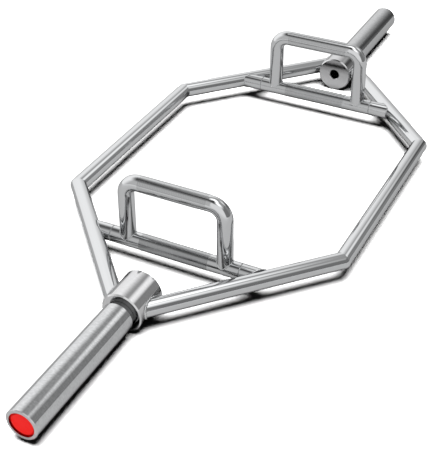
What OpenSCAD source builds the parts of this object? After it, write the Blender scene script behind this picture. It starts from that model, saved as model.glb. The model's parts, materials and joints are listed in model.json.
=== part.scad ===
// Hex trap bar: a six-sided frame of round steel tube that the lifter stands in, with a
// gripping crossbar and a raised handle at each end and a turning load sleeve outside each.
// X runs along the bar, Y across it and Z up. The floor is at Z = 0 under the two collars,
// and the origin is at the middle of the frame. "Near" is the -X end and "left" the +Y side.

/* [Hexagonal frame] */
// Distance between the facing ends of the two collars
frame_len = 789; // [740:1:900]
// Length of each side rail, from corner to corner along its axis
rail_len = 392; // [330:1:440]
// Distance between the axes of the two side rails
rail_spacing = 488; // [460:1:560]
// Outer diameter of the rail and arm tube
frame_tube_d = 28; // [28:0.5:33]
// Wall of the rail and arm tube
frame_tube_wall = 3.5; // [2:0.5:6]
// Reach of the weld fillet where an arm meets its collar
arm_weld = 2.4; // [1.5:0.1:3]

/* [Crossbars] */
// Distance between the axes of the two crossbars
crossbar_spacing = 585; // [530:1:630]
// Diameter of the crossbars and of their stubs
crossbar_d = 27.5; // [24:0.5:27.5]
// Length of each stub, from its seam with the crossbar to the axis of the arm
stub_len = 41.5; // [37:0.5:48]
// Edge break on each side of the seam between crossbar and stub
seam_chamfer = 0.8; // [0.2:0.1:1]
// Distance from the axis of the arm to the slanting end of a stub
stub_set_back = 9; // [5:0.5:12]
// Length of the knurled band on each crossbar
knurl_len = 122; // [80:1:140]
// Height of the knurling above the plain bar
knurl_rise = 0.2; // [0.1:0.05:0.4]

/* [Raised handles] */
// Diameter of the raised handle bar
handle_d = 26.5; // [22:0.5:26.5]
// Height of the handle axis above the crossbar axis
handle_rise = 111; // [85:1:140]
// Distance between the axes of the two legs
leg_spacing = 173; // [140:1:185]
// Bend radius of the handle, on its axis
handle_bend_r = 24; // [18:1:36]

/* [Collars] */
// Outer diameter of each collar
collar_d = 67; // [62:1:80]
// Length of each collar
collar_len = 67; // [58:1:90]
// Chamfer on both outer rims of a collar
collar_chamfer = 2; // [0.5:0.25:3]
// Diameter of the hole in the inner face of a collar
drain_d = 19.5; // [10:0.5:24]
// Chamfer of that hole
drain_chamfer = 1; // [0.25:0.25:2]
// Thickness of the web round that hole
collar_web = 4; // [2:0.5:8]
// Depth of the seat that holds the stub shaft
shaft_seat = 14; // [8:0.5:18]

/* [Load sleeves] */
// Length of each load sleeve that takes plates
sleeve_len = 241; // [160:1:420]
// Outer diameter of a load sleeve
sleeve_d = 50; // [48:0.1:52]
// Length of the neck that shows between collar and sleeve
neck_gap = 8.5; // [3:0.5:15]
// Wall of the neck
neck_wall = 4; // [2:0.5:4.5]
// Gap between the neck and the bore of the collar, on radius
neck_clearance = 0.5; // [0.3:0.1:1]
// Chamfer on the outer edges of a sleeve
sleeve_chamfer = 1; // [0.25:0.25:2]
// Step from the bore of the sleeve up to its open mouth, on radius
mouth_step = 2; // [1:0.25:2.5]
// Depth of the mouth
mouth_depth = 31; // [28:1:50]

/* [Shafts and bearings] */
// Diameter of the fixed stub shaft
shaft_d = 30; // [26:0.5:32]
// Running clearance of the bushes on the shaft, on radius
running_fit = 0.06; // [0.02:0.01:0.1]
// Wall of both bushes
bush_wall = 3; // [2:0.25:3.5]
// Length of both bushes
bush_len = 30; // [20:1:45]
// Thickness of the thrust washer
thrust_t = 3; // [1.5:0.5:5]
// End float of the sleeve, at each end
end_float = 0.5; // [0.2:0.1:1]
// Thickness of the retaining washer
retainer_t = 4; // [2:0.5:6]
// Nominal diameter of the retaining bolt
bolt_d = 16; // [10:1:18]
// Width across the flats of the bolt head
bolt_flats = 24; // [20:1:28]
// Height of the bolt head
bolt_head_h = 9; // [6:0.5:11]
// Length of the bolt in the shaft
bolt_grip = 32; // [20:1:50]

/* [End caps] */
// Depth of the cap face below the end of the sleeve
cap_recess = 1.6; // [0.5:0.1:4]
// Width of the groove between cap face and sleeve
cap_groove = 2.3; // [1:0.1:4]
// Depth of that groove, from the cap face
cap_groove_depth = 3; // [1:0.5:5]
// Overall thickness of the cap
cap_t = 8; // [6:0.5:10]
// Rounding of the cap face
cap_round = 1; // [0.25:0.25:1]
// Gap between the cap and the mouth, on radius
cap_fit = 0.05; // [0.02:0.01:0.15]

/* [Hidden] */
$fn = 96;

near = -1;
far = 1;
right = -1;
left = 1;
past = 1;

// Heights and stations along the bar
axis_z = collar_d / 2;
collar_inner_x = frame_len / 2;
collar_mid_x = collar_inner_x + collar_len / 2;
collar_outer_x = collar_inner_x + collar_len;
shoulder_x = collar_outer_x + neck_gap;
sleeve_end_x = shoulder_x + sleeve_len;
mouth_x = sleeve_end_x - mouth_depth;
crossbar_x = crossbar_spacing / 2;

// Radii
tube_r = frame_tube_d / 2;
bar_r = crossbar_d / 2;
grip_r = handle_d / 2;
collar_r = collar_d / 2;
shaft_r = shaft_d / 2;
sleeve_r = sleeve_d / 2;
bush_bore_r = shaft_r + running_fit;
sleeve_bore_r = bush_bore_r + bush_wall;
neck_r = sleeve_bore_r + neck_wall;
collar_bore_r = neck_r + neck_clearance;
mouth_r = sleeve_bore_r + mouth_step;
cap_r = mouth_r - cap_fit;
cap_face_r = cap_r - cap_groove;

// Stations inside the collar and the sleeve
web_x = collar_inner_x + collar_web;
cavity_x = web_x + shaft_seat;
neck_end_x = cavity_x + thrust_t + end_float;
shaft_end_x = mouth_x + end_float;
retainer_end_x = shaft_end_x + retainer_t;
cap_face_x = sleeve_end_x - cap_recess;
bolt_clearance = 0.5;

// The arm runs from the corner of the frame to the side of the collar, half way along it
corner_x = rail_len / 2;
corner_y = rail_spacing / 2;
arm_run = collar_mid_x - corner_x;
arm_drop = corner_y - collar_r;
arm_turn = atan2(arm_drop, arm_run);
arm_to_axis = corner_y / sin(arm_turn);
stub_end_y = corner_y - (crossbar_x - corner_x) * tan(arm_turn);
seam_y = stub_end_y - stub_len;

// Puts what is drawn for the far end or the left side at the end and side that are asked for
module at_end(end, side = left) {
    mirror([end == near ? 1 : 0, 0, 0])
        mirror([0, side == right ? 1 : 0, 0])
            children();
}

// A bar along X between two stations, round the axis of the sleeves
module turned(from_x, to_x, r) {
    translate([from_x, 0, axis_z]) rotate([0, 90, 0]) cylinder(h = to_x - from_x, r = r);
}

// A ring along X between two stations
module turned_ring(from_x, to_x, r, bore_r) {
    difference() {
        turned(from_x, to_x, r);
        turned(from_x - past, to_x + past, bore_r);
    }
}

// A solid turned round the sleeve axis from an outline of [station, radius] points
module turned_outline(points) {
    translate([0, 0, axis_z])
        rotate([0, 90, 0])
            rotate_extrude()
                polygon([for (p = points) [p[1], p[0]]]);
}

// A bar along the axis of the far left arm, starting at the corner and ending past the collar
module along_arm(from_d, to_d, r) {
    translate([corner_x, corner_y, axis_z])
        rotate([0, 0, -arm_turn])
            rotate([0, 90, 0])
                translate([0, 0, from_d]) cylinder(h = to_d - from_d, r = r);
}

// A block on one side of the mitre plane of the far left corner: the arm's side or the rail's
module mitre_block(on_arm_side) {
    reach = 3 * frame_tube_d;
    translate([corner_x, corner_y, axis_z])
        rotate([0, 0, -arm_turn / 2])
            translate([on_arm_side ? 0 : -reach, -reach, -reach]) cube([reach, 2 * reach, 2 * reach]);
}

// Side rail: a straight tube, mitred on its inner side where the arms meet it
module side_rail(side) {
    color("silver")
        at_end(far, side)
            difference() {
                translate([-corner_x, corner_y, axis_z])
                    rotate([0, 90, 0]) cylinder(h = rail_len, r = tube_r);
                translate([-corner_x - past, corner_y, axis_z])
                    rotate([0, 90, 0]) cylinder(h = rail_len + 2 * past, r = tube_r - frame_tube_wall);
                mitre_block(on_arm_side = true);
                mirror([1, 0, 0]) mitre_block(on_arm_side = true);
            }
}

// Arm: a straight tube from the corner to the collar, mitred at one end and coped at the other
module arm(end, side) {
    color("silver")
        at_end(end, side)
            difference() {
                along_arm(0, arm_to_axis, tube_r);
                along_arm(-past, arm_to_axis + past, tube_r - frame_tube_wall);
                mitre_block(on_arm_side = false);
                turned(crossbar_x, shoulder_x + collar_len, collar_r);
            }
}

// Corner: the rounded wedge of weld between the square outer halves of two tube ends
module corner(end, side) {
    color("silver")
        at_end(end, side)
            translate([corner_x, corner_y, axis_z])
                rotate([0, 0, 90 - arm_turn])
                    rotate_extrude(angle = arm_turn)
                        intersection() {
                            circle(r = tube_r);
                            translate([0, -frame_tube_d]) square([frame_tube_d, 2 * frame_tube_d]);
                        }
}

// Welds that join the two arms of one end to their collar
module arm_welds(end) {
    color("silver")
        for (side = [left, right])
            at_end(end, side)
                difference() {
                    intersection() {
                        along_arm(arm_to_axis / 2, arm_to_axis, tube_r + arm_weld);
                        turned(collar_inner_x, collar_outer_x, collar_r + arm_weld);
                    }
                    along_arm(arm_to_axis / 2 - past, arm_to_axis + past, tube_r);
                    turned(collar_inner_x - past, collar_outer_x + past, collar_r);
                }
}

// Collar: a turned block with a seat for the stub shaft and a bore that takes the neck
module collar(end) {
    color("lightgray")
        at_end(end)
            turned_outline([
                [collar_inner_x, drain_d / 2 + drain_chamfer],
                [collar_inner_x, collar_r - collar_chamfer],
                [collar_inner_x + collar_chamfer, collar_r],
                [collar_outer_x - collar_chamfer, collar_r],
                [collar_outer_x, collar_r - collar_chamfer],
                [collar_outer_x, collar_bore_r],
                [cavity_x, collar_bore_r],
                [cavity_x, shaft_r],
                [web_x, shaft_r],
                [web_x, drain_d / 2],
                [collar_inner_x + drain_chamfer, drain_d / 2]
            ]);
}

// Crossbar: the low grip, a round bar with a knurled band and an edge break at each end
module crossbar(end) {
    half_knurl = knurl_len / 2;
    color("darkgray")
        at_end(end)
            translate([crossbar_x, 0, axis_z])
                rotate([-90, 0, 0])
                    rotate_extrude()
                        polygon([
                            [0, -seam_y],
                            [bar_r - seam_chamfer, -seam_y],
                            [bar_r, -seam_y + seam_chamfer],
                            [bar_r, -half_knurl - knurl_rise],
                            [bar_r + knurl_rise, -half_knurl],
                            [bar_r + knurl_rise, half_knurl],
                            [bar_r, half_knurl + knurl_rise],
                            [bar_r, seam_y - seam_chamfer],
                            [bar_r - seam_chamfer, seam_y],
                            [0, seam_y]
                        ]);
}

// A block beyond the slanting ends of the stubs on the far left arm
module beyond_flank() {
    translate([corner_x, corner_y, axis_z])
        rotate([0, 0, -arm_turn])
            translate([0, -stub_set_back, -frame_tube_d])
                cube([arm_to_axis, frame_tube_d + stub_set_back, 2 * frame_tube_d]);
}

// Stub: the plain end of a crossbar, cut slanting along the flank of the arm and coped round it
module stub(end, side) {
    color("silver")
        at_end(end, side)
            difference() {
                translate([crossbar_x, seam_y, axis_z])
                    rotate([-90, 0, 0]) {
                        cylinder(h = seam_chamfer, r1 = bar_r - seam_chamfer, r2 = bar_r);
                        translate([0, 0, seam_chamfer])
                            cylinder(h = stub_len - seam_chamfer, r = bar_r);
                    }
                along_arm(0, arm_to_axis, tube_r);
                beyond_flank();
            }
}

// One half of a raised handle: a leg, a bend and half of the grip
module handle_half() {
    bend_y = leg_spacing / 2 - handle_bend_r;
    bend_z = handle_rise - handle_bend_r;
    translate([0, leg_spacing / 2, 0]) cylinder(h = bend_z, r = grip_r);
    translate([0, bend_y, bend_z])
        rotate([0, -90, 0])
            rotate_extrude(angle = 90)
                translate([handle_bend_r, 0]) circle(r = grip_r);
    translate([0, 0, handle_rise]) rotate([-90, 0, 0]) cylinder(h = bend_y, r = grip_r);
}

// Raised handle: one bent bar that stands on the crossbar, coped over it
module raised_handle(end) {
    color("darkgray")
        at_end(end)
            difference() {
                translate([crossbar_x, 0, axis_z]) {
                    handle_half();
                    mirror([0, 1, 0]) handle_half();
                }
                translate([crossbar_x, 0, axis_z])
                    rotate([90, 0, 0]) cylinder(h = rail_spacing, r = bar_r, center = true);
            }
}

// Stub shaft: the fixed axle of a sleeve, seated in the collar and tapped at its outer end
module stub_shaft(end) {
    color("gray")
        at_end(end)
            difference() {
                turned(web_x, shaft_end_x, shaft_r);
                turned(web_x - past, shaft_end_x - bolt_grip, drain_d / 2);
                turned(shaft_end_x - bolt_grip - past, shaft_end_x + past, bolt_d / 2);
            }
}

// Thrust washer: lies on the floor of the collar's bore, behind the neck
module thrust_washer(end) {
    color("goldenrod") at_end(end) turned_ring(cavity_x, cavity_x + thrust_t, neck_r, bush_bore_r);
}

// Retaining washer: bolted to the end of the shaft, it keeps the sleeve on
module retaining_washer(end) {
    color("gray")
        at_end(end)
            turned_ring(shaft_end_x, retainer_end_x, mouth_r - bolt_clearance, bolt_d / 2 + bolt_clearance);
}

// Retaining bolt: hexagon head and shank, screwed into the end of the shaft
module retaining_bolt(end) {
    color("gray")
        at_end(end) {
            turned(shaft_end_x - bolt_grip, retainer_end_x, bolt_d / 2);
            translate([retainer_end_x, 0, axis_z])
                rotate([0, 90, 0]) cylinder(h = bolt_head_h, d = bolt_flats / cos(30), $fn = 6);
        }
}

// Load sleeve: the turning tube that takes the plates, with a neck that runs in the collar
module load_sleeve(end) {
    color("silver")
        at_end(end)
            turned_outline([
                [neck_end_x, sleeve_bore_r],
                [neck_end_x, neck_r],
                [shoulder_x, neck_r],
                [shoulder_x, sleeve_r - sleeve_chamfer],
                [shoulder_x + sleeve_chamfer, sleeve_r],
                [sleeve_end_x - sleeve_chamfer, sleeve_r],
                [sleeve_end_x, sleeve_r - sleeve_chamfer],
                [sleeve_end_x, mouth_r],
                [mouth_x, mouth_r],
                [mouth_x, sleeve_bore_r]
            ]);
}

// Inner bush: pressed in the neck
module inner_bush(end) {
    color("goldenrod")
        at_end(end) turned_ring(neck_end_x, neck_end_x + bush_len, sleeve_bore_r, bush_bore_r);
}

// Outer bush: pressed in the sleeve just behind its mouth
module outer_bush(end) {
    color("goldenrod")
        at_end(end) turned_ring(mouth_x - bush_len, mouth_x, sleeve_bore_r, bush_bore_r);
}

// End cap: a plastic plug in the mouth of the sleeve, with a raised round face
module end_cap(end) {
    color("red")
        at_end(end)
            translate([0, 0, axis_z])
                rotate([0, 90, 0])
                    rotate_extrude() {
                        translate([0, cap_face_x - cap_t]) square([cap_r, cap_t - cap_groove_depth]);
                        translate([0, cap_face_x - cap_groove_depth])
                            square([cap_face_r, cap_groove_depth - cap_round]);
                        translate([0, cap_face_x - cap_round]) square([cap_face_r - cap_round, cap_round]);
                        intersection() {
                            translate([cap_face_r - cap_round, cap_face_x - cap_round])
                                circle(r = cap_round);
                            translate([cap_face_r - cap_round, cap_face_x - cap_round])
                                square([cap_round, cap_round]);
                        }
                    }
}

side_rail(left);  // left_side_rail
side_rail(right);  // right_side_rail
arm(near, left);  // near_left_arm
arm(near, right);  // near_right_arm
arm(far, left);  // far_left_arm
arm(far, right);  // far_right_arm
corner(near, left);  // near_left_corner
corner(near, right);  // near_right_corner
corner(far, left);  // far_left_corner
corner(far, right);  // far_right_corner
collar(near);  // near_collar
collar(far);  // far_collar
arm_welds(near);  // near_arm_welds
arm_welds(far);  // far_arm_welds
crossbar(near);  // near_crossbar
crossbar(far);  // far_crossbar
stub(near, left);  // near_left_stub
stub(near, right);  // near_right_stub
stub(far, left);  // far_left_stub
stub(far, right);  // far_right_stub
raised_handle(near);  // near_raised_handle
raised_handle(far);  // far_raised_handle
stub_shaft(near);  // near_stub_shaft
stub_shaft(far);  // far_stub_shaft
thrust_washer(near);  // near_thrust_washer
thrust_washer(far);  // far_thrust_washer
retaining_washer(near);  // near_retaining_washer
retaining_washer(far);  // far_retaining_washer
retaining_bolt(near);  // near_retaining_bolt
retaining_bolt(far);  // far_retaining_bolt
load_sleeve(near);  // near_load_sleeve
load_sleeve(far);  // far_load_sleeve
inner_bush(near);  // near_inner_bush
inner_bush(far);  // far_inner_bush
outer_bush(near);  // near_outer_bush
outer_bush(far);  // far_outer_bush
end_cap(near);  // near_end_cap
end_cap(far);  // far_end_cap
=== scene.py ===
"""Dresses a hex trap bar in chrome, satin steel and red plastic, and sets it in a plain studio."""
import json
import math
from typing import NamedTuple

import bmesh
import bpy
from mathutils import Euler, Matrix, Vector


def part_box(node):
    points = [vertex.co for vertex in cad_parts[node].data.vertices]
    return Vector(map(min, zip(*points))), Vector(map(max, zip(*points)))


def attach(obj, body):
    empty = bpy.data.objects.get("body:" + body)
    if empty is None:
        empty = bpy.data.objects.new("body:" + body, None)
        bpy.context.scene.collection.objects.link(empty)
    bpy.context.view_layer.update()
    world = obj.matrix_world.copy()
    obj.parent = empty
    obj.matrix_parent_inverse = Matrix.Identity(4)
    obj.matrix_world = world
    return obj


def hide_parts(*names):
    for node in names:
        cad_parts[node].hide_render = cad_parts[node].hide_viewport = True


bl_info = {
    "name": "Hex Trap Bar",
    "version": (1, 0, 0),
    "blender": (4, 5, 0),
    "location": "View3D > Sidebar > Trap Bar",
    "description": "Finishes, knurling, welds and studio for a hex trap bar",
    "category": "Object",
}

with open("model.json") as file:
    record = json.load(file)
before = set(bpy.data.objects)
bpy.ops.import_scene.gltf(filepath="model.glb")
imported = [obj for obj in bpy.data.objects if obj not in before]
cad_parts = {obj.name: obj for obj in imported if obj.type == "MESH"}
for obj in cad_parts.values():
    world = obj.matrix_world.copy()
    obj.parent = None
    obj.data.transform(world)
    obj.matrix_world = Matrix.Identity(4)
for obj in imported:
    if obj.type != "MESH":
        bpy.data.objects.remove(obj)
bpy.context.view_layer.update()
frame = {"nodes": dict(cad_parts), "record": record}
# Lengths are in metres
MM = 0.001
# Which way along X the two ends lie, and which way along Y the left and the right side
ENDS = {"near": -1, "far": 1}
SIDES = (1, -1)


def middle(node):
    """Centre of a CAD node's box."""
    low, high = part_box(node)
    return (low + high) / 2


def size(node):
    """Edge lengths of a CAD node's box."""
    low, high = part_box(node)
    return high - low


AXIS_Z = middle("near_load_sleeve").z
TUBE_R = size("left_side_rail").z / 2
CORNER = Vector((size("left_side_rail").x / 2, middle("left_side_rail").y, AXIS_Z))
COLLAR_R = size("far_collar").z / 2
COLLAR_X = middle("far_collar").x
# A sleeve's neck shows for this far between its collar and its shoulder, as in the CAD model
NECK_GAP = 8.5 * MM
SHOULDER_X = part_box("far_collar")[1].x + NECK_GAP
CROSSBAR_X = middle("far_crossbar").x
HANDLE_R = size("far_raised_handle").x / 2
HANDLE_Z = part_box("far_raised_handle")[1].z - HANDLE_R
BAR_R = size("far_left_stub").x / 2
LEG_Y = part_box("far_raised_handle")[1].y - HANDLE_R
# A stub ends on a slanting cut this far from the line of its arm, as in the CAD model
STUB_SET_BACK = 9 * MM


class StudioSettings(bpy.types.PropertyGroup):
    """The camera, the floor and the light."""

    lens: bpy.props.FloatProperty(
        name="Lens", description="Focal length on a 36 mm wide picture", default=87.18, unit="CAMERA"
    )
    camera_at: bpy.props.FloatVectorProperty(
        name="Camera", description="Where the camera stands", default=(-1.4413, -0.6469, 1.0115),
        subtype="TRANSLATION", unit="LENGTH",
    )
    camera_azimuth: bpy.props.FloatProperty(
        name="Azimuth", description="Direction of view, from +X towards +Y",
        default=math.radians(26.76), subtype="ANGLE",
    )
    camera_drop: bpy.props.FloatProperty(
        name="Drop", description="How far the view points below the horizon",
        default=math.radians(35.19), subtype="ANGLE",
    )
    camera_roll: bpy.props.FloatProperty(
        name="Roll", description="Turn of the picture about the line of view",
        default=math.radians(-0.13), subtype="ANGLE",
    )
    floor_size: bpy.props.FloatProperty(
        name="Floor", description="Width of the floor", default=14.0, unit="LENGTH"
    )
    top_light: bpy.props.FloatProperty(
        name="Top light", description="Strength of the soft light straight above", default=2.7
    )
    top_light_spread: bpy.props.FloatProperty(
        name="Top light spread", description="How wide the soft light above looks from the bar",
        default=math.radians(50), subtype="ANGLE",
    )
    front_fill: bpy.props.FloatProperty(
        name="Front fill", description="Strength of the soft light from the camera's side", default=1.9
    )


class WorkSettings(bpy.types.PropertyGroup):
    """The knurling and the welds."""

    knurl_pitch: bpy.props.FloatProperty(
        name="Knurl pitch", description="Width of one diamond of the knurling, round the bar",
        default=1.7 * MM, unit="LENGTH", precision=5,
    )
    knurl_rise: bpy.props.FloatProperty(
        name="Knurl rise", description="Height of the diamonds above the valleys between them",
        default=0.05 * MM, unit="LENGTH", precision=5,
    )
    crossbar_knurl: bpy.props.FloatProperty(
        name="Crossbar knurling", description="Length of the knurled band on a crossbar",
        default=122 * MM, unit="LENGTH", precision=4,
    )
    handle_knurl: bpy.props.FloatProperty(
        name="Handle knurling", description="Length of the knurled band on a raised handle",
        default=118 * MM, unit="LENGTH", precision=4,
    )
    arm_bead: bpy.props.FloatProperty(
        name="Arm weld", description="Radius of the weld bead between an arm and its collar",
        default=2.3 * MM, unit="LENGTH", precision=5,
    )
    fine_bead: bpy.props.FloatProperty(
        name="Fine weld", description="Radius of the small weld under a handle's leg or at a stub's end",
        default=0.9 * MM, unit="LENGTH", precision=5,
    )


class FinishSettings(bpy.types.PropertyGroup):
    """Colours of the finishes."""

    chrome: bpy.props.StringProperty(
        name="Chrome", description="Colour of the bright chrome plate, sRGB hex", default="#BBBCBD"
    )
    sleeve: bpy.props.StringProperty(
        name="Sleeve chrome", description="Colour of the plate on the sleeves, sRGB hex", default="#B2B3B4"
    )
    # The knurling of the crossbars and of the handles is one finish: the crossbars' colour is darker and the
    # handles' lighter, as painted shade and painted highlight
    crossbar_knurl: bpy.props.StringProperty(
        name="Crossbar knurling", description="Colour of the crossbars' knurling, sRGB hex",
        default="#A7A8A9",
    )
    handle_knurl: bpy.props.StringProperty(
        name="Handle knurling", description="Colour of the raised handles' knurling, sRGB hex",
        default="#BFC0C1",
    )
    satin: bpy.props.StringProperty(
        name="Satin steel", description="Colour of the satin collars, sRGB hex", default="#BBBBBC"
    )
    steel: bpy.props.StringProperty(
        name="Machined steel", description="Colour of the shafts, washers and bolts, sRGB hex",
        default="#7F8082",
    )
    bronze: bpy.props.StringProperty(
        name="Bronze", description="Colour of the bushes, sRGB hex", default="#A07C46"
    )
    cap_red: bpy.props.StringProperty(
        name="Cap red", description="Colour of the end caps, sRGB hex", default="#FF0C04"
    )


def linear(code):
    """Linear RGBA of an sRGB hex colour."""
    parts = [int(code[i : i + 2], 16) / 255 for i in (1, 3, 5)]
    return [c / 12.92 if c <= 0.04045 else ((c + 0.055) / 1.055) ** 2.4 for c in parts] + [1.0]


def add(tree, kind, inputs=None, **settings):
    """Adds a node with its settings. An input is given a value, or the socket to link it from."""
    node = tree.nodes.new(kind)
    for name, value in settings.items():
        setattr(node, name, value)
    for name, value in (inputs or {}).items():
        if isinstance(value, bpy.types.NodeSocket):
            tree.links.new(value, node.inputs[name])
        else:
            node.inputs[name].default_value = value
    return node


def new_material(name):
    """A material with an empty tree."""
    material = bpy.data.materials.new(name)
    material.use_nodes = True
    material.node_tree.nodes.clear()
    return material, material.node_tree


# Metals stay a little grey where they are seen edge on
EDGE_TINT = "#D0D0D0"
# The noise texture seldom leaves this range
NOISE_LOW = 0.3
NOISE_HIGH = 0.7
# Wiping marks are some 70 mm wide. The haze on the plate grows between these values of their noise
SMUDGES = 1 / (70 * MM)
SMUDGE_LOW = 0.35
SMUDGE_HIGH = 0.75
# The waves left by polishing are 1 mm wide. They are drawn 4 mm wide, so that they show
WAVES = 1 / (4 * MM)
WAVE_DEPTH = 0.2 * MM
WAVE_STRENGTH = 0.02
PLATE_ROUGHNESS = 0.035
PLATE_HAZE = 0.03
# A weld is plated as it is, without polish
WELD_ROUGHNESS = 0.06


# Bright chrome plate over polished steel: a mirror, with a faint haze of wiping marks
def chrome_material(name, colour, roughness=PLATE_ROUGHNESS):
    material, tree = new_material(name)
    place = add(tree, "ShaderNodeTexCoord").outputs["Object"]
    smudge = add(tree, "ShaderNodeTexNoise", {"Vector": place, "Scale": SMUDGES, "Detail": 5.0})
    rough = add(tree, "ShaderNodeMapRange", {
        "Value": smudge.outputs["Fac"], "From Min": SMUDGE_LOW, "From Max": SMUDGE_HIGH,
        "To Min": roughness, "To Max": roughness + PLATE_HAZE,
    })
    waves = add(tree, "ShaderNodeTexNoise", {"Vector": place, "Scale": WAVES, "Detail": 2.0})
    bump = add(tree, "ShaderNodeBump", {
        "Height": waves.outputs["Fac"], "Strength": WAVE_STRENGTH, "Distance": WAVE_DEPTH,
    })
    shader = add(tree, "ShaderNodeBsdfPrincipled", {
        "Base Color": linear(colour), "Metallic": 1.0, "Specular Tint": linear(EDGE_TINT),
        "Roughness": rough.outputs["Result"], "Normal": bump.outputs["Normal"],
    })
    add(tree, "ShaderNodeOutputMaterial", {"Surface": shader.outputs[0]})
    return material


# Painted shade darkens the neck of a sleeve, in the recess between its collar and its shoulder, to this
# share, with an edge that fades over this length
NECK_PAINTED_SHADE = 0.35
NECK_SHADE_FADE = 0.5 * MM
# Turned metal has flecks of a tenth of a millimetre. They are drawn 2 by 5 mm, so that they show
FLECKS_ALONG = 1 / (2 * MM)
FLECKS_ROUND = 1 / (5 * MM)
# The tool leaves a ring every 0.2 mm. They are drawn 0.7 mm apart, so that they show, and run on for 40 mm
RINGS_ALONG = 1 / (0.7 * MM)
RINGS_ROUND = 1 / (40 * MM)
# Between the rings the metal is up to this many times as rough
RING_SPREAD = 1.8
# Depth of the tool's rings, and of the grain that a mould leaves
MARK_DEPTH = 0.05 * MM


# Turned metal: rings left by the tool blur each highlight, and flecks break it up
def turned_material(name, colour, shine, marks, fleck=0.03, shaded_to=0.0):
    """Shine is the roughness on the rings. Up to the given distance from the middle the metal is darkened by
    painted shade.
    """
    material, tree = new_material(name)
    place = add(tree, "ShaderNodeTexCoord").outputs["Object"]
    spread = add(tree, "ShaderNodeMapping", {
        "Vector": place, "Scale": (FLECKS_ALONG, FLECKS_ROUND, FLECKS_ROUND),
    })
    flecks = add(tree, "ShaderNodeTexNoise", {
        "Vector": spread.outputs[0], "Scale": 1.0, "Detail": 1.0,
    })
    shade = add(tree, "ShaderNodeMapRange", {
        "Value": flecks.outputs["Fac"], "From Min": NOISE_LOW, "From Max": NOISE_HIGH,
        "To Min": 1 - fleck, "To Max": 1 + fleck,
    })
    quarter = add(tree, "ShaderNodeVectorMath", {0: place}, operation="ABSOLUTE")
    along = add(tree, "ShaderNodeSeparateXYZ", {0: quarter.outputs[0]}).outputs["X"]
    # Painted shade: within the given distance from the middle the colour is darker
    neck_shade = add(tree, "ShaderNodeMapRange", {
        "Value": along, "From Min": shaded_to - NECK_SHADE_FADE, "From Max": shaded_to,
        "To Min": NECK_PAINTED_SHADE, "To Max": shade.outputs["Result"],
    })
    surface = add(tree, "ShaderNodeHueSaturation", {
        "Color": linear(colour), "Value": neck_shade.outputs["Result"],
    })
    stretched = add(tree, "ShaderNodeMapping", {
        "Vector": place, "Scale": (RINGS_ALONG, RINGS_ROUND, RINGS_ROUND),
    })
    rings = add(tree, "ShaderNodeTexNoise", {
        "Vector": stretched.outputs[0], "Scale": 1.0, "Detail": 3.0,
    })
    rough = add(tree, "ShaderNodeMapRange", {
        "Value": rings.outputs["Fac"], "From Min": NOISE_LOW, "From Max": NOISE_HIGH,
        "To Min": shine, "To Max": shine * RING_SPREAD,
    })
    bump = add(tree, "ShaderNodeBump", {
        "Height": rings.outputs["Fac"], "Strength": marks, "Distance": MARK_DEPTH,
    })
    shader = add(tree, "ShaderNodeBsdfPrincipled", {
        "Base Color": surface.outputs["Color"], "Metallic": 1.0, "Specular Tint": linear(EDGE_TINT),
        "Roughness": rough.outputs["Result"], "Normal": bump.outputs["Normal"],
    })
    add(tree, "ShaderNodeOutputMaterial", {"Surface": shader.outputs[0]})
    return material


# The knurling's own attribute: 0 in the valleys, 1 on the points
KNURL_HEIGHT = "knurl_height"
# Painted shade in the valleys and a painted highlight on the points: how light each is against the colour of
# the band, and how rough
VALLEY_PAINTED_SHADE = 0.8
POINT_PAINTED_HIGHLIGHT = 1.45
VALLEY_ROUGHNESS = 0.1
POINT_ROUGHNESS = 0.04


# Rolled diamond knurling under chrome: a painted highlight on the points and painted shade in the valleys,
# where the plate is also rougher
def knurled_material(name, colour):
    material, tree = new_material(name)
    height = add(tree, "ShaderNodeAttribute", attribute_name=KNURL_HEIGHT)
    # Painted shade in the valleys and a painted highlight on the points, from the height of each vertex
    shade = add(tree, "ShaderNodeMapRange", {
        "Value": height.outputs["Fac"], "To Min": VALLEY_PAINTED_SHADE, "To Max": POINT_PAINTED_HIGHLIGHT,
    })
    plate = add(tree, "ShaderNodeHueSaturation", {
        "Color": linear(colour), "Value": shade.outputs["Result"],
    })
    rough = add(tree, "ShaderNodeMapRange", {
        "Value": height.outputs["Fac"], "To Min": VALLEY_ROUGHNESS, "To Max": POINT_ROUGHNESS,
    })
    shader = add(tree, "ShaderNodeBsdfPrincipled", {
        "Base Color": plate.outputs["Color"], "Metallic": 1.0, "Specular Tint": linear(EDGE_TINT),
        "Roughness": rough.outputs["Result"],
    })
    add(tree, "ShaderNodeOutputMaterial", {"Surface": shader.outputs[0]})
    return material


# The grain of the mould is 0.3 mm wide. It is drawn 0.7 mm wide, so that it shows
MOULD_GRAIN = 1 / (0.7 * MM)
GRAIN_STRENGTH = 0.1
PLASTIC_ROUGHNESS = 0.42
PLASTIC_GLOSS = 0.15
POLYPROPYLENE_IOR = 1.49


# Moulded polypropylene: even colour, a soft gloss and the fine grain of the mould
def plastic_material(name, colour):
    material, tree = new_material(name)
    place = add(tree, "ShaderNodeTexCoord").outputs["Object"]
    grain = add(tree, "ShaderNodeTexNoise", {"Vector": place, "Scale": MOULD_GRAIN, "Detail": 2.0})
    bump = add(tree, "ShaderNodeBump", {
        "Height": grain.outputs["Fac"], "Strength": GRAIN_STRENGTH, "Distance": MARK_DEPTH,
    })
    shader = add(tree, "ShaderNodeBsdfPrincipled", {
        "Base Color": linear(colour), "Roughness": PLASTIC_ROUGHNESS, "IOR": POLYPROPYLENE_IOR,
        "Specular IOR Level": PLASTIC_GLOSS, "Normal": bump.outputs["Normal"],
    })
    add(tree, "ShaderNodeOutputMaterial", {"Surface": shader.outputs[0]})
    return material


def assign(obj, material):
    """Makes a material the only one of a piece."""
    obj.data.materials.clear()
    obj.data.materials.append(material)


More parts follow.
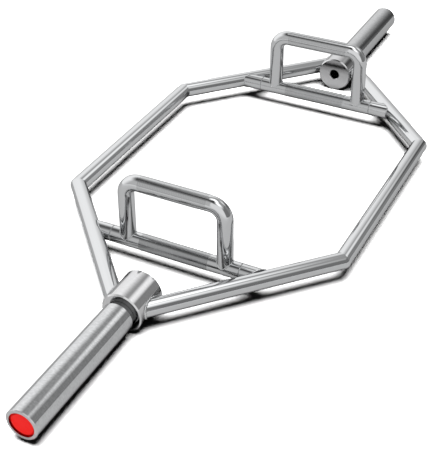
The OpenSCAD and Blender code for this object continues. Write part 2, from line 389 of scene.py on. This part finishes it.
class TRAPBAR_OT_finishes(bpy.types.Operator):
    """Gives every CAD node its finish"""

    bl_idname = "trapbar.finishes"
    bl_label = "Finishes"

    def execute(self, context):
        finish = context.scene.trap_bar_finish
        made = {
            "frame_chrome": chrome_material("bright_chrome_tube", finish.chrome),
            "grip_chrome": chrome_material("bright_chrome_bar", finish.chrome),
            "weld_chrome": chrome_material("chromed_weld", finish.chrome, WELD_ROUGHNESS),
            "collar_steel": turned_material("satin_turned_steel", finish.satin, shine=0.05, marks=0.04),
            # The sleeves carry painted shade on their necks, between the collar and the shoulder
            "sleeve_chrome": turned_material(
                "turned_chrome", finish.sleeve, shine=0.07, marks=0.03, fleck=0.09, shaded_to=SHOULDER_X
            ),
            "shaft_steel": turned_material("machined_steel", finish.steel, shine=0.2, marks=0.1),
            "bearing_bronze": turned_material("sintered_bronze", finish.bronze, shine=0.25, marks=0.1),
            "cap_plastic": plastic_material("red_polypropylene", finish.cap_red),
        }
        for entry in frame["record"]["subparts"]:
            assign(frame["nodes"][entry["node"]], made[entry["material_slot"]])
        return {"FINISHED"}


# A 30 degree diamond is this many times longer than wide
DIAMOND_LENGTH = 1.73
# The valleys of the knurling stand this far off the bar below, so that the bar never shows through
KNURL_SKIN = 0.02 * MM
# The closed ends of a knurled band go down into the bar to this share of its radius
KNURL_ROOT = 0.98


def select(obj, mode, chosen):
    """In edit mode, selects the vertices or edges for which chosen is true."""
    bpy.ops.mesh.select_mode(type=mode)
    bpy.ops.mesh.select_all(action="DESELECT")
    shape = bmesh.from_edit_mesh(obj.data)
    for element in shape.verts if mode == "VERT" else shape.edges:
        element.select_set(chosen(element))
    shape.select_flush_mode()
    bmesh.update_edit_mesh(obj.data)


def complete(obj, name, material):
    """Names a finished piece of the fixed frame, and gives it its finish."""
    obj.name = obj.data.name = name
    assign(obj, material)
    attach(obj, "frame")
    return obj


def roll_knurling(radius, length, pitch, rise):
    """A band of diamond knurling for a bar of that radius that runs along Y through the origin."""
    around = round(2 * math.pi * radius / pitch)
    along = round(length / (pitch * DIAMOND_LENGTH))
    row, turn = length / along, 2 * math.pi / around
    bpy.ops.object.select_all(action="DESELECT")
    bpy.ops.mesh.primitive_cylinder_add(
        vertices=around, radius=radius, depth=length, end_fill_type="NOTHING",
        rotation=(math.pi / 2, 0, 0),
    )
    band = bpy.context.object
    bpy.ops.object.transform_apply(rotation=True)
    first = math.atan2(band.data.vertices[0].co.z, band.data.vertices[0].co.x)

    def run(edge):
        """How far an edge goes along the bar: a whole row, half of one as a slanting edge, or not at all."""
        return abs(edge.verts[0].co.y - edge.verts[1].co.y)

    def is_point(vert):
        step_along = round(2 * (vert.co.y + length / 2) / row)
        step_round = round(2 * (math.atan2(vert.co.z, vert.co.x) - first) / turn)
        return (step_along + step_round) % 2 == 1 and 0 < step_along < 2 * along

    bpy.ops.object.mode_set(mode="EDIT")
    # Corners and centres of the cells stay as valleys, and the middles of their straight edges rise
    select(band, "EDGE", lambda edge: run(edge) > row / 2)
    bpy.ops.mesh.subdivide(number_cuts=along - 1)
    bpy.ops.mesh.select_all(action="SELECT")
    bpy.ops.mesh.poke()
    select(band, "EDGE", lambda edge: run(edge) < row / 4 or run(edge) > row * 3 / 4)
    bpy.ops.mesh.subdivide(number_cuts=1)
    select(band, "VERT", is_point)
    bpy.ops.transform.shrink_fatten(value=rise)
    select(band, "EDGE", lambda edge: edge.is_boundary)
    bpy.ops.mesh.extrude_region_move()
    bpy.ops.transform.resize(value=(KNURL_ROOT, 1, KNURL_ROOT), center_override=(0, 0, 0))
    bpy.ops.object.mode_set(mode="OBJECT")
    heights = band.data.attributes.new(KNURL_HEIGHT, "FLOAT", "POINT")
    for vert, height in zip(band.data.vertices, heights.data):
        height.value = max(0.0, (math.hypot(vert.co.x, vert.co.z) - radius) / rise)
    return band


class TRAPBAR_OT_knurling(bpy.types.Operator):
    """Rolls the knurled bands of the crossbars and of the raised handles"""

    bl_idname = "trapbar.knurling"
    bl_label = "Knurling"

    def execute(self, context):
        work = context.scene.trap_bar_work
        finish = context.scene.trap_bar_finish
        # The crossbars' knurling is coloured darker and the handles' lighter, as painted shade and painted
        # highlight
        for piece, radius, length, height, colour in (
            ("crossbar", size("near_crossbar").x / 2, work.crossbar_knurl, AXIS_Z, finish.crossbar_knurl),
            ("raised_handle", HANDLE_R, work.handle_knurl, HANDLE_Z, finish.handle_knurl),
        ):
            material = knurled_material(f"knurled_chrome_{piece}", colour)
            band = roll_knurling(radius + KNURL_SKIN, length, work.knurl_pitch, work.knurl_rise)
            for end, sign in ENDS.items():
                copy = bpy.data.objects.new("copy", band.data.copy())
                context.collection.objects.link(copy)
                copy.data.transform(Matrix.Translation((sign * CROSSBAR_X, 0, height)))
                complete(copy, f"{end}_{piece}_knurling", material)
            bpy.data.objects.remove(band)
        return {"FINISHED"}


class Tube(NamedTuple):
    """The line and the radius of a round tube or bar."""

    start: Vector
    towards: Vector
    radius: float


class Joint(NamedTuple):
    """A tube that ends on another one, or before it on a plane along its flank that far from its line."""

    branch: Tube
    main: Tube
    set_back: float = 0.0


def joint_corner(joint, turn):
    """The point of a joint's edge at that turn round the branch, and both tubes' directions outwards."""
    branch, main, set_back = joint
    across = branch.towards.orthogonal().normalized()
    spoke = math.cos(turn) * across + math.sin(turn) * branch.towards.cross(across)
    start = branch.start + branch.radius * spoke

    def off_main(vector):
        return vector - vector.dot(main.towards) * main.towards

    reach, travel = off_main(start - main.start), off_main(branch.towards)
    half = reach.dot(travel)
    root = math.sqrt(max(half**2 - travel.length_squared * (reach.length_squared - main.radius**2), 0))
    # Seen along the main tube, this far on a line along the branch meets the main tube's circle
    run = (-half - root) / travel.length_squared
    surface = off_main(start + run * branch.towards - main.start).normalized()
    # Or this far on it meets the plane along the flank
    flank = travel.normalized()
    run_to_flank = (-set_back - reach.dot(flank)) / travel.length
    if set_back and run_to_flank < run:
        run, surface = run_to_flank, -flank
    return start + run * branch.towards, spoke, surface


# A bead is laid as overlapping drops of this length, each this much proud of the dip before it
ARM_DROP = 3.2 * MM
FINE_DROP = 2.4 * MM
RIPPLE = 0.22
# The edge of a drop lags at the side of the bead, by this share of its length
LAG = 0.35
# Steps of the mesh along one drop and round the bead, and the angle up to which its faces look smooth
DROP_STEPS = 8
BEAD_SIDES = 12
SMOOTH_ANGLE = math.radians(40)
# A bead starts as a torus of this radius, 1 thick, that is then laid round its joint
TORUS_R = 2


def lay_bead(joint, radius, drop):
    """A closed weld bead round a joint, with one ripple for each drop of that length."""
    bpy.ops.object.select_all(action="DESELECT")
    drops = round(2 * math.pi * joint.branch.radius / drop)
    bpy.ops.mesh.primitive_torus_add(
        major_radius=TORUS_R, minor_radius=1, major_segments=drops * DROP_STEPS, minor_segments=BEAD_SIDES
    )
    bead = bpy.context.object
    for vert in bead.data.vertices:
        turn = math.atan2(vert.co.y, vert.co.x)
        out, aside = math.hypot(vert.co.x, vert.co.y) - TORUS_R, vert.co.z
        point, spoke, surface = joint_corner(joint, turn)
        outwards = (spoke + surface).normalized()
        sideways = outwards.cross(spoke.cross(surface)).normalized()
        phase = drops * turn / (2 * math.pi) + LAG * out
        swell = radius * (1 - RIPPLE * (phase % 1) ** 2)
        vert.co = point + swell * (out * outwards + aside * sideways)
    bpy.ops.object.mode_set(mode="EDIT")
    bpy.ops.mesh.select_all(action="SELECT")
    bpy.ops.mesh.normals_make_consistent(inside=False)
    bpy.ops.object.mode_set(mode="OBJECT")
    bpy.ops.object.shade_smooth_by_angle(angle=SMOOTH_ANGLE)
    return bead


def joints(kind, end):
    """The joints of one kind at one end, on both sides."""
    for side in SIDES:
        bar = Tube(Vector((end * CROSSBAR_X, 0, AXIS_Z)), Vector((0, side, 0)), BAR_R)
        corner = Vector((end * CORNER.x, side * CORNER.y, AXIS_Z))
        seat = Vector((end * COLLAR_X, side * COLLAR_R, AXIS_Z))
        arm = Tube(corner, (seat - corner).normalized(), TUBE_R)
        if kind == "arm":
            yield Joint(arm, Tube(Vector((0, 0, AXIS_Z)), Vector((1, 0, 0)), COLLAR_R))
        elif kind == "stub":
            yield Joint(bar, arm, STUB_SET_BACK)
        else:
            top = Vector((end * CROSSBAR_X, side * LEG_Y, HANDLE_Z))
            yield Joint(Tube(top, Vector((0, 0, -1)), HANDLE_R), bar)


class TRAPBAR_OT_welds(bpy.types.Operator):
    """Lays the weld beads at the arms, the stubs and the handles' legs"""

    bl_idname = "trapbar.welds"
    bl_label = "Welds"

    def execute(self, context):
        work = context.scene.trap_bar_work
        chrome = context.scene.trap_bar_finish.chrome
        material = chrome_material("chromed_weld_bead", chrome, WELD_ROUGHNESS)
        for kind, radius, drop, slot in (
            ("arm", work.arm_bead, ARM_DROP, "weld_chrome"),
            ("stub", work.fine_bead, FINE_DROP, "frame_chrome"),
            ("leg", work.fine_bead, FINE_DROP, "grip_chrome"),
        ):
            for end, sign in ENDS.items():
                beads = [lay_bead(joint, radius, drop) for joint in joints(kind, sign)]
                for bead in beads:
                    bead.select_set(True)
                bpy.ops.object.join()
                whole = complete(context.object, f"{end}_{kind}_weld_beads", material)
                if kind == "arm":
                    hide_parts(f"{end}_arm_welds")
        return {"FINISHED"}


class Panel(NamedTuple):
    """A lit part of the studio room with soft edges, in degrees as seen from the bar.

    Its glow is full within full_half_width of its azimuth and from low to high. It is gone beyond
    faded_half_width, below the foot and above the top.
    """

    name: str
    azimuth: float
    full_half_width: float
    faded_half_width: float
    foot: float
    low: float
    high: float
    top: float
    glow: float


PANELS = [
    Panel("far wall", 66, 29, 103, foot=-12, low=0, high=34, top=69, glow=1.65),
    Panel("left wall", 147, 26, 41, foot=-10, low=0, high=40, top=68, glow=0.82),
    Panel("wall behind the camera", 200, 31, 46, foot=-14, low=0, high=45, top=60, glow=1.3),
    Panel("right wall", -51, 16, 28, foot=-8, low=1, high=33, top=54, glow=0.4),
    Panel("corner at the right", -98, 33, 50, foot=-9, low=-3, high=53, top=54, glow=0.3),
    Panel("strip light", -27, 1, 35, foot=20, low=36, high=42, top=59, glow=1.7),
    Panel("light at the right", -125, 3, 56, foot=24, low=71, high=72, top=76, glow=2.9),
    Panel("edge of the ceiling", -41, 48, 86, foot=39, low=46, high=66, top=67, glow=0.56),
    Panel("ceiling over the far wall", 23, 29, 61, foot=55, low=75, high=76, top=80, glow=2.2),
    Panel("light overhead", -21, 54, 178, foot=62, low=78, high=91, top=97, glow=2.9),
]
# Glow of the walls between the panels
WALL_SHADE = 0.1
# Glow of the room that metal throws back on the floor: next to none, so that no bright spots lie there
ROOM_ON_FLOOR = 0.003


def seen_straight(tree, ray):
    """1 for what metal shows to the eye, and 0 for what metal throws back on the floor."""
    return add(tree, "ShaderNodeMath", {
        0: ray.outputs["Is Glossy Ray"], 1: ray.outputs["Diffuse Depth"],
    }, operation="SUBTRACT", use_clamp=True).outputs[0]


def build_world(scene):
    """The studio room as the metal shows it. The camera sees plain white beyond the floor."""
    world = bpy.data.worlds.new("studio_room")
    scene.world = world
    world.cycles.sampling_method = "NONE"
    world.use_nodes = True
    tree = world.node_tree
    tree.nodes.clear()
    look = add(tree, "ShaderNodeTexCoord").outputs["Generated"]
    look = add(tree, "ShaderNodeSeparateXYZ", {0: look})
    azimuth = add(tree, "ShaderNodeMath", {
        0: look.outputs["Y"], 1: look.outputs["X"],
    }, operation="ARCTAN2")
    height = add(tree, "ShaderNodeMath", {0: look.outputs["Z"]}, operation="ARCSINE")
    room = WALL_SHADE
    for panel in PANELS:
        off = add(tree, "ShaderNodeMath", {
            0: azimuth.outputs[0], 1: math.radians(panel.azimuth),
        }, operation="SUBTRACT")
        off = add(tree, "ShaderNodeMath", {0: off.outputs[0], 1: math.pi, 2: -math.pi}, operation="WRAP")
        off = add(tree, "ShaderNodeMath", {0: off.outputs[0]}, operation="ABSOLUTE")
        glow = panel.glow
        for value, faded, full in (
            (off, panel.faded_half_width, panel.full_half_width),
            (height, panel.foot, panel.low),
            (height, panel.top, panel.high),
        ):
            glow = add(tree, "ShaderNodeMapRange", {
                "Value": value.outputs[0], "From Min": math.radians(faded),
                "From Max": math.radians(full), "To Min": 0.0, "To Max": glow,
            }, interpolation_type="SMOOTHSTEP", label=panel.name).outputs["Result"]
        room = add(tree, "ShaderNodeMath", {0: room, 1: glow}, operation="MAXIMUM").outputs[0]
    ray = add(tree, "ShaderNodeLightPath")
    room = add(tree, "ShaderNodeMapRange", {
        "Value": seen_straight(tree, ray), "To Min": ROOM_ON_FLOOR, "To Max": room,
    })
    room = add(tree, "ShaderNodeMapRange", {
        "Value": ray.outputs["Is Camera Ray"], "To Min": room.outputs[0], "To Max": 1.0,
    })
    light = add(tree, "ShaderNodeBackground", {"Color": (1, 1, 1, 1), "Strength": room.outputs[0]})
    add(tree, "ShaderNodeOutputWorld", {"Surface": light.outputs[0]})


# How light the floor is for the light that it throws back on the bar
FLOOR_PAINT = 0.8
# How light it shows in the metal, under the bar and closer to the camera, and where along X each holds
FLOOR_IN_METAL = 1.0
FLOOR_IN_METAL_NEAR_CAMERA = 1.35
BAR_END_X = -0.4
CAMERA_END_X = -1.2
# How light the camera sees it: above white, as in a photograph cut out on white
FLOOR_SEEN = 1.5
# Between these distances from the bar's middle lines it is lighter still, which keeps the shadow narrow
FLOOR_SEEN_BY_BAR = 3.2
BY_BAR = 24 * MM
OFF_BAR = 34 * MM
# Sleeves and collars are thicker than the tubes, so all this starts that much further from their middle line
SLEEVE_MARGIN = 18 * MM


def distance_from_bar(tree, place):
    """How far a place on the floor lies from the middle lines of the bar, seen from above."""
    # The bar is the same in all four quarters, so one of them is enough
    quarter = add(tree, "ShaderNodeVectorMath", {0: place}, operation="ABSOLUTE").outputs[0]
    apart = add(tree, "ShaderNodeSeparateXYZ", {0: quarter}).outputs
    outwards = Vector((CORNER.y - COLLAR_R, COLLAR_X - CORNER.x, 0)).normalized()
    past_arm = add(tree, "ShaderNodeVectorMath", {0: quarter, 1: outwards}, operation="DOT_PRODUCT")
    past_arm = add(tree, "ShaderNodeMath", {
        0: past_arm.outputs["Value"], 1: outwards.dot(CORNER),
    }, operation="SUBTRACT")
    past_rail = add(tree, "ShaderNodeMath", {0: apart["Y"], 1: CORNER.y}, operation="SUBTRACT")
    past_frame = add(tree, "ShaderNodeMath", {
        0: past_arm.outputs[0], 1: past_rail.outputs[0],
    }, operation="MAXIMUM")
    past_crossbar = add(tree, "ShaderNodeMath", {0: apart["X"], 1: CROSSBAR_X}, operation="SUBTRACT")
    nearest = add(tree, "ShaderNodeMath", {0: apart["Y"], 1: SLEEVE_MARGIN}, operation="SUBTRACT")
    for past in (past_frame, past_crossbar):
        off = add(tree, "ShaderNodeMath", {0: past.outputs[0]}, operation="ABSOLUTE")
        nearest = add(tree, "ShaderNodeMath", {
            0: nearest.outputs[0], 1: off.outputs[0],
        }, operation="MINIMUM")
    return nearest.outputs[0]


def build_floor(width):
    """A white painted floor. Seen by the camera or in the metal it is lifted to the white of the room."""
    bpy.ops.object.select_all(action="DESELECT")
    bpy.ops.mesh.primitive_plane_add(size=width, location=(0, 0, 0))
    floor = bpy.context.object
    floor.name = "studio_floor"
    material, tree = new_material("white_floor_paint")
    ray = add(tree, "ShaderNodeLightPath")
    place = add(tree, "ShaderNodeTexCoord").outputs["Object"]
    along = add(tree, "ShaderNodeSeparateXYZ", {0: place}).outputs["X"]
    in_metal = add(tree, "ShaderNodeMapRange", {
        "Value": along, "From Min": CAMERA_END_X, "From Max": BAR_END_X,
        "To Min": FLOOR_IN_METAL_NEAR_CAMERA, "To Max": FLOOR_IN_METAL,
    })
    seen = add(tree, "ShaderNodeMapRange", {
        "Value": distance_from_bar(tree, place), "From Min": BY_BAR, "From Max": OFF_BAR,
        "To Min": FLOOR_SEEN_BY_BAR, "To Max": FLOOR_SEEN,
    }, interpolation_type="SMOOTHSTEP")
    paint = 0.0
    for kind, level in (
        (ray.outputs["Is Camera Ray"], seen.outputs[0]),
        (seen_straight(tree, ray), in_metal.outputs[0]),
        (ray.outputs["Is Transmission Ray"], in_metal.outputs[0]),
        (ray.outputs["Is Diffuse Ray"], FLOOR_PAINT),
    ):
        paint = add(tree, "ShaderNodeMath", {
            0: kind, 1: level, 2: paint,
        }, operation="MULTIPLY_ADD").outputs[0]
    diffuse = add(tree, "ShaderNodeBsdfDiffuse", {"Color": paint})
    add(tree, "ShaderNodeOutputMaterial", {"Surface": diffuse.outputs[0]})
    assign(floor, material)


# Width of the picture in millimetres, and how far the camera sees in metres
SENSOR_WIDTH = 36
SIGHT = 50


def build_camera(scene, studio):
    """A camera at the photograph's point of view."""
    camera = bpy.data.objects.new("camera", bpy.data.cameras.new("camera"))
    scene.collection.objects.link(camera)
    camera.data.sensor_fit = "HORIZONTAL"
    camera.data.sensor_width = SENSOR_WIDTH
    camera.data.lens = studio.lens
    camera.data.clip_end = SIGHT
    camera.location = studio.camera_at
    turn = Euler((math.pi / 2 - studio.camera_drop, 0, studio.camera_azimuth - math.pi / 2)).to_matrix()
    camera.rotation_euler = (turn @ Matrix.Rotation(studio.camera_roll, 3, "Z")).to_euler()
    scene.camera = camera


# The front fill comes from behind the camera, low and wide
FILL_AZIMUTH = math.radians(200)
FILL_HEIGHT = math.radians(8)
FILL_SPREAD = math.radians(40)


def add_light(scene, name, azimuth, height, spread, strength):
    """A soft light far off, by the direction it comes from. The metal doesn't mirror it."""
    data = bpy.data.lights.new(name, "SUN")
    data.angle = spread
    data.energy = strength
    lamp = bpy.data.objects.new(name, data)
    lamp.rotation_euler = (0, math.pi / 2 - height, azimuth)
    lamp.visible_glossy = False
    scene.collection.objects.link(lamp)
    return lamp


class TRAPBAR_OT_studio(bpy.types.Operator):
    """Sets up the camera, the floor, the room and the lights"""

    bl_idname = "trapbar.studio"
    bl_label = "Studio"

    def execute(self, context):
        scene = context.scene
        studio = scene.trap_bar_studio
        scene.view_settings.view_transform = "Standard"
        build_camera(scene, studio)
        build_world(scene)
        build_floor(studio.floor_size)
        add_light(scene, "top_light", 0, math.pi / 2, studio.top_light_spread, studio.top_light)
        fill = add_light(scene, "front_fill", FILL_AZIMUTH, FILL_HEIGHT, FILL_SPREAD, studio.front_fill)
        # Only the CAD model gets the fill. The floor goes without, so it shows no long shadows
        lit = bpy.data.collections.new("lit_by_front_fill")
        for node in frame["nodes"].values():
            lit.objects.link(node)
        fill.light_linking.receiver_collection = lit
        return {"FINISHED"}


class TRAPBAR_PT_panel(bpy.types.Panel):
    """Lists the steps in the sidebar"""

    bl_idname = "TRAPBAR_PT_panel"
    bl_label = "Trap Bar"
    bl_space_type = "VIEW_3D"
    bl_region_type = "UI"
    bl_category = "Trap Bar"

    def draw(self, context):
        for step in STEPS:
            self.layout.operator(step.bl_idname)


STEPS = [TRAPBAR_OT_studio, TRAPBAR_OT_finishes, TRAPBAR_OT_knurling, TRAPBAR_OT_welds]
CLASSES = [StudioSettings, WorkSettings, FinishSettings, *STEPS, TRAPBAR_PT_panel]


def register():
    for cls in CLASSES:
        bpy.utils.register_class(cls)
    bpy.types.Scene.trap_bar_studio = bpy.props.PointerProperty(type=StudioSettings)
    bpy.types.Scene.trap_bar_work = bpy.props.PointerProperty(type=WorkSettings)
    bpy.types.Scene.trap_bar_finish = bpy.props.PointerProperty(type=FinishSettings)


def unregister():
    del bpy.types.Scene.trap_bar_finish
    del bpy.types.Scene.trap_bar_work
    del bpy.types.Scene.trap_bar_studio
    for cls in reversed(CLASSES):
        bpy.utils.unregister_class(cls)


def main():
    """Makes the whole scene."""
    register()
    bpy.ops.trapbar.studio()
    bpy.ops.trapbar.finishes()
    bpy.ops.trapbar.knurling()
    bpy.ops.trapbar.welds()
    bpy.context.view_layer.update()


if __name__ == "__main__":
    main()
